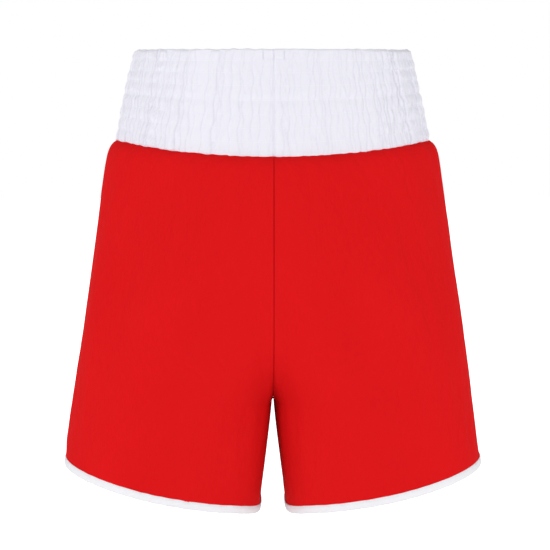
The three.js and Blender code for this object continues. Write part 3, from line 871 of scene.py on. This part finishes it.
def waist_label_stitch():
    """The label's stitching as it shows outside: down, along above the first row, and up again."""
    reach = np.arcsin(LABEL_STITCH_WIDTH / 2 / WAIST_HALF_WIDTH)
    bottom, top = LABEL_STITCH_SHARE, 1.5 * COVER_TOP_WALL / BAND_HEIGHT
    corners = np.array([(-reach, top), (-reach, bottom), (reach, bottom), (reach, top)])
    turns = np.interp(np.linspace(0, 3, 241), np.arange(4), corners[:, 0])
    shares = np.interp(np.linspace(0, 3, 241), np.arange(4), corners[:, 1])
    path = on_band(turns - QUARTER, shares)
    outward = np.broadcast_to((0.0, -1.0, 0.0), path.shape)
    return thread_stitches("label_box_stitch", path, outward, LABEL_STITCH, radius=LABEL_THREAD)


def care_label(hinge):
    """A folded satin loop that hangs from its hinge line, a little curled at its free end."""
    across = Vector(hinge["axis"]).normalized()
    behind = across.cross(Vector((0, 0, 1)))
    side = CARE_SLOT / 2 + CARE_LAYER / 2
    straight = np.linspace(0, CARE_LENGTH - side, CARE_STEPS)
    turn = np.linspace(0, np.pi, 9)[1:-1]
    level, upright = np.zeros(CARE_STEPS), np.ones(CARE_STEPS)
    facing = np.concatenate([upright, np.cos(turn), -upright])
    under = np.concatenate([level, np.sin(turn), level])
    down = np.concatenate([straight, straight[-1] + side * np.sin(turn), straight[::-1]])
    place = np.linspace(-0.5, 0.5, 16) * CARE_WIDTH
    curl = -CARE_CURL * (down[:, None] / CARE_LENGTH) ** 2 * (1 + (place / CARE_WIDTH) ** 2)
    faces = []
    for lift in (CARE_LAYER / 2, -CARE_LAYER / 2):
        depth = ((side + lift) * facing)[:, None] + curl
        fall = np.broadcast_to((down + lift * under)[:, None], depth.shape)
        faces.append(np.array(hinge["pos_m"]) + place[None, :, None] * np.array(across)
                     + depth[..., None] * np.array(behind) - fall[..., None] * (0, 0, 1))
    return slab_mesh("care_label_loop", *faces)


# ---------- materials

WAVE_TURNS = 20  # the wave texture turns this many radians over a length of 1
PLY_PITCH = 0.0006


class Shader:
    """A material under construction: short calls for the nodes used here."""

    def __init__(self, name):
        self.material = bpy.data.materials.new(name)
        self.material.use_nodes = True
        self.tree = self.material.node_tree
        self.surface = self.tree.nodes["Principled BSDF"]
        self.cloth = self.node("ShaderNodeUVMap", uv_map="cloth").outputs["UV"]

    def node(self, kind, values=(), **settings):
        """A new node with its settings, and with a constant or a link for each socket named."""
        made = self.tree.nodes.new(kind)
        for name, value in settings.items():
            setattr(made, name, value)
        for name, value in dict(values).items():
            self.feed(made.inputs[name], value)
        return made

    def feed(self, socket, value):
        """Links another socket to this one, or gives it a constant."""
        if isinstance(value, bpy.types.NodeSocket):
            self.tree.links.new(value, socket)
        else:
            socket.default_value = value

    def finish(self, **values):
        """The material, with values for its surface's sockets, named with _ for a space."""
        for name, value in values.items():
            self.feed(self.surface.inputs[name.replace("_", " ")], value)
        return self.material

    def stretched(self, scale, turn=0.0):
        """The cloth's coordinates in metres, times a scale for each direction."""
        values = {"Vector": self.cloth, "Scale": (*scale, 1), "Rotation": (0, 0, turn)}
        return self.node("ShaderNodeMapping", values).outputs["Vector"]

    def noise(self, scale, detail=3.0, roughness=0.55):
        values = {"Vector": self.stretched(scale), "Scale": 1.0, "Detail": detail, "Roughness": roughness}
        return self.node("ShaderNodeTexNoise", values).outputs["Fac"]

    def threads(self, pitch, turn=0.0, direction="X"):
        """Parallel threads of a given pitch in metres, as rounded ridges."""
        scale = 2 * math.pi / WAVE_TURNS / pitch
        values = {"Vector": self.stretched((scale, scale), turn), "Scale": 1.0, "Distortion": 0.0}
        made = self.node("ShaderNodeTexWave", values, wave_type="BANDS", bands_direction=direction)
        return made.outputs["Fac"]

    def math(self, operation, a, b):
        made = self.node("ShaderNodeMath", operation=operation)
        self.feed(made.inputs[0], a)
        self.feed(made.inputs[1], b)
        return made.outputs["Value"]

    def ramp(self, factor, low, high):
        """A factor from 0 to 1 turned into a range of values."""
        values = {"Value": factor, "To Min": low, "To Max": high}
        return self.node("ShaderNodeMapRange", values).outputs["Result"]

    def colours(self, factor, low, high):
        """A mix of two colours, each an RGB tuple or another node's output."""
        made = self.node("ShaderNodeMix", {"Factor": factor}, data_type="RGBA")
        for socket, colour in zip(made.inputs[6:8], (low, high)):
            self.feed(socket, (*colour, 1) if isinstance(colour, tuple) else colour)
        return made.outputs[2]

    def bump(self, height, distance, strength=1.0, under=None):
        values = {"Height": height, "Distance": distance, "Strength": strength}
        if under is not None:
            values["Normal"] = under
        return self.node("ShaderNodeBump", values).outputs["Normal"]


def fabric(name, low, high, pitch, roughness, sheen=0.15, specular=0.12, relief=0.00006, painted_crease_shade=None):
    """Plain-woven cloth: crossing threads, slubs along them, and a slow change of colour.

    Where the crease colour is given, it is painted shade: a darker colour put into the creases that the
    mesh has marked.
    """
    shader = Shader(name)
    warp = shader.threads(pitch, direction="X")
    weft = shader.threads(pitch * 1.1, direction="Y")
    weave = shader.math("MULTIPLY", warp, weft)
    slubs = shader.noise((1 / (pitch * 3), 1 / (pitch * 26)), 2.0)
    grain = shader.noise((1 / (pitch * 2.6), 1 / (pitch * 2.6)), 4.0, 0.7)
    cloud = shader.noise((14.0, 9.0), 3.0, 0.5)
    tone = shader.math("MULTIPLY", shader.math("ADD", slubs, cloud), 0.5)
    colour = shader.colours(tone, low, high)
    if painted_crease_shade is not None:
        # painted shade: the colour darkens towards the crease colour where the mesh marks a crease
        creases = shader.node("ShaderNodeAttribute", attribute_name="painted_crease_shade").outputs["Fac"]
        colour = shader.colours(creases, colour, painted_crease_shade)
    relief_of_threads = shader.bump(weave, relief)
    relief_of_slubs = shader.bump(shader.math("ADD", slubs, grain), relief * 2.2, 0.6, relief_of_threads)
    return shader.finish(Base_Color=colour, Normal=relief_of_slubs, Specular_IOR_Level=specular,
                         Roughness=shader.ramp(grain, roughness - 0.08, roughness + 0.08),
                         Sheen_Weight=sheen, Sheen_Roughness=0.5, Sheen_Tint=(*high, 1))


def twisted(name, low, high, roughness=0.45):
    """Sewing thread: plies that wind round it."""
    shader = Shader(name)
    plies = shader.threads(PLY_PITCH, turn=0.7)
    fuzz = shader.noise((5200.0, 5200.0), 2.0)
    return shader.finish(Base_Color=shader.colours(plies, low, high), Normal=shader.bump(plies, 0.00005),
                         Roughness=shader.ramp(fuzz, roughness - 0.1, roughness + 0.15), Sheen_Weight=0.1)


RED_LOW, RED_HIGH = (0.63, 0.0060, 0.0074), (0.73, 0.0098, 0.0115)
WHITE_LOW, WHITE_HIGH = (0.78, 0.775, 0.85), (0.85, 0.845, 0.92)
# painted shade: the band's darker colour in its creases
WHITE_PAINTED_CREASE_SHADE = (0.63, 0.62, 0.72)

shell_fabric = fabric("shell_fabric", RED_LOW, RED_HIGH, 0.00042, 0.85, sheen=0.02, specular=0.03)
band_fabric = fabric("band_fabric", WHITE_LOW, WHITE_HIGH, 0.00045, 0.80, sheen=0.10, specular=0.15,
                     painted_crease_shade=WHITE_PAINTED_CREASE_SHADE)
elastic_web = fabric("elastic", (0.74, 0.73, 0.70), (0.84, 0.83, 0.80), 0.0008, 0.85, relief=0.00014)
binding_tape = fabric("binding_tape", (0.79, 0.785, 0.815), (0.87, 0.865, 0.895), 0.00050, 0.62,
                      sheen=0.12, specular=0.25)
band_thread = twisted("band_thread", (0.80, 0.80, 0.88), (0.90, 0.90, 0.97))
binding_thread = twisted("binding_thread", (0.82, 0.82, 0.86), (0.92, 0.92, 0.95))
seam_thread = twisted("seam_thread", (0.55, 0.005, 0.008), (0.70, 0.009, 0.012), roughness=0.55)
allowance_cloth = fabric("seam_overlock", (0.56, 0.0035, 0.005), (0.68, 0.006, 0.008), 0.00042, 0.80)
label_woven = fabric("label_woven", (0.84, 0.84, 0.83), (0.92, 0.92, 0.91), 0.00030, 0.45, specular=0.4)
label_satin = fabric("label_satin", (0.85, 0.85, 0.84), (0.93, 0.93, 0.92), 0.00022, 0.30, specular=0.5)


# ---------- making the pieces


def finished(piece, material, slot, *nodes, body="shorts"):
    """Gives a piece its material, hides the CAD nodes it stands for, and ties it to the body it rides on.
    """
    piece.data.materials.append(material)
    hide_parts(*nodes)
    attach(piece, body)
    return piece


cover = finished(waistband_cover(), band_fabric, "band_fabric", "waistband_cover")
crease_share = stitch_rows[CREASE_ROW - 1]
upper = finished(elastic("elastic_upper", 0, crease_share, COVER_TOP_WALL + CLEARANCE, ELASTIC_END_GAP / 2),
                 elastic_web, "elastic", "waist_elastic_upper")
lower = finished(elastic("elastic_lower", crease_share, 1, ELASTIC_END_GAP / 2, ELASTIC_END_GAP),
                 elastic_web, "elastic", "waist_elastic_lower")
for row in range(1, len(stitch_rows) + 1):
    finished(band_stitch_row(row), band_thread, "band_thread", f"waistband_stitch_row_{row}")

for face_name, face in (("back", REAR), ("front", FRONT)):
    for side_name, side in SIDES:
        piece = body_panel(side_name, side, face_name, face)
        finished(piece, shell_fabric, "shell_fabric",
                                      f"{face_name}_panel_{side_name}")

for side_name, side in SIDES:
    finished(hem_binding(side_name, side), binding_tape, "binding_tape",
                             f"hem_binding_{side_name}")
    finished(binding_stitch(side_name, side), binding_thread, "binding_thread", f"hem_stitch_{side_name}")


def sewn_seam(name, node, lines):
    """An allowance and its overlocked edge, which together stand for one CAD node."""
    cloth = finished(allowance(f"{name}_allowance", *lines), allowance_cloth, "seam_overlock", node)
    loops = overlock(f"{name}_overlock", *lines)
    loops.data.materials.append(seam_thread)
    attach(loops, "shorts")
    return [cloth, loops]


waist_allowance = sewn_seam("waist", "waist_seam", waist_seam_lines())
allowances = {"back_cloth_left": sewn_seam("rise", "rise_seam", rise_seam_lines()), "back_cloth_right": []}
for side_name, side in SIDES:
    top = waist_seam_drop(0) + WAIST_SEAM_WIDTH + CLEARANCE
    held = allowances[f"back_cloth_{side_name}"]
    lines = flat_seam_lines(side, 0, top, SIDE_DROP - BINDING_WIDTH - CLEARANCE)
    held += sewn_seam(f"side_{side_name}", f"side_seam_{side_name}", lines)
    lines = flat_seam_lines(side, 1, CROTCH_DROP + 0.0013, INSEAM_DROP - BINDING_WIDTH - CLEARANCE)
    held += sewn_seam(f"leg_{side_name}", f"inseam_{side_name}", lines)

size_label = finished(waist_label(), label_woven, "label_woven", "waist_label")
finished(waist_label_stitch(), band_thread, "band_thread", "waist_label_stitch")
hinge = frame["joints"][0]
loop = finished(care_label(hinge), label_satin, "label_satin", "care_label", body="care_label")


# ---------- stage, light and camera

FLOOR_DROP = 0.9
FLOOR_GLOW = 0.22  # strength of its light on the shorts; it is seen as plain white
WORLD_GLOW = 0.55
LIGHT_TARGET = Vector((0, 0, -0.24))
LIGHTS = (  # name, place, width in metres, watts
    ("key", (-1.9, -2.2, 1.0), 0.8, 18),
    ("fill", (2.0, -2.1, 0.3), 1.1, 10.5),
    ("low", (0.1, -2.7, -0.8), 1.4, 13),
    ("side_left", (-2.6, -0.5, -0.1), 1.2, 10.5),
    ("side_right", (2.6, -0.5, -0.1), 1.2, 10.5),
)
EYE = Vector((-0.026, -2.5, -0.022))
CAMERA_HEADING = math.radians(-0.648)
CAMERA_PITCH = math.radians(4.9)
FOCAL_LENGTH = 155.85  # on a 36 mm sensor


def seen_or_lighting(tree, seen, lighting):
    """A strength for what is seen directly, and another for its light on other things."""
    path = tree.nodes.new("ShaderNodeLightPath")
    strength = tree.nodes.new("ShaderNodeMix")
    strength.inputs[2].default_value = lighting
    strength.inputs[3].default_value = seen
    tree.links.new(path.outputs["Is Camera Ray"], strength.inputs[0])
    return strength.outputs[0]


def plain_floor():
    size = 14.0
    corners = [(x * size, y * size, -FLOOR_DROP) for x, y in ((-1, -1), (1, -1), (1, 1), (-1, 1))]
    floor = make_mesh("floor", corners, [[0, 1, 2, 3]])
    shader = Shader("floor_white")
    glow = seen_or_lighting(shader.tree, 1.0, FLOOR_GLOW)
    material = shader.finish(Base_Color=(0.9, 0.9, 0.9, 1), Roughness=0.9, Emission_Color=(1, 1, 1, 1),
                             Emission_Strength=glow)
    floor.data.materials.append(material)


def area_light(name, place, size, watts):
    light = bpy.data.lights.new(name, "AREA")
    light.shape = "DISK"
    light.size = size
    light.energy = watts
    lamp = bpy.data.objects.new(name, light)
    lamp.location = place
    lamp.rotation_euler = (LIGHT_TARGET - Vector(place)).to_track_quat("-Z", "Y").to_euler()
    bpy.context.scene.collection.objects.link(lamp)


def white_world(seen, lighting):
    """White all round: as bright as seen behind the object, and softer as a light on it."""
    world = bpy.data.worlds.new("white")
    world.use_nodes = True
    tree = world.node_tree
    background = tree.nodes["Background"]
    background.inputs["Color"].default_value = (1, 1, 1, 1)
    tree.links.new(seen_or_lighting(tree, seen, lighting), background.inputs["Strength"])
    bpy.context.scene.world = world


def make_camera():
    camera = bpy.data.cameras.new("camera")
    camera.sensor_width = 36
    camera.lens = FOCAL_LENGTH
    camera.clip_end = 60
    holder = bpy.data.objects.new("camera", camera)
    holder.location = EYE
    holder.rotation_euler = (QUARTER - CAMERA_PITCH, 0, CAMERA_HEADING)
    bpy.context.scene.collection.objects.link(holder)
    bpy.context.scene.camera = holder


plain_floor()
white_world(1.0, WORLD_GLOW)
for light in LIGHTS:
    area_light(*light)
bpy.context.scene.view_settings.view_transform = "Standard"
make_camera()
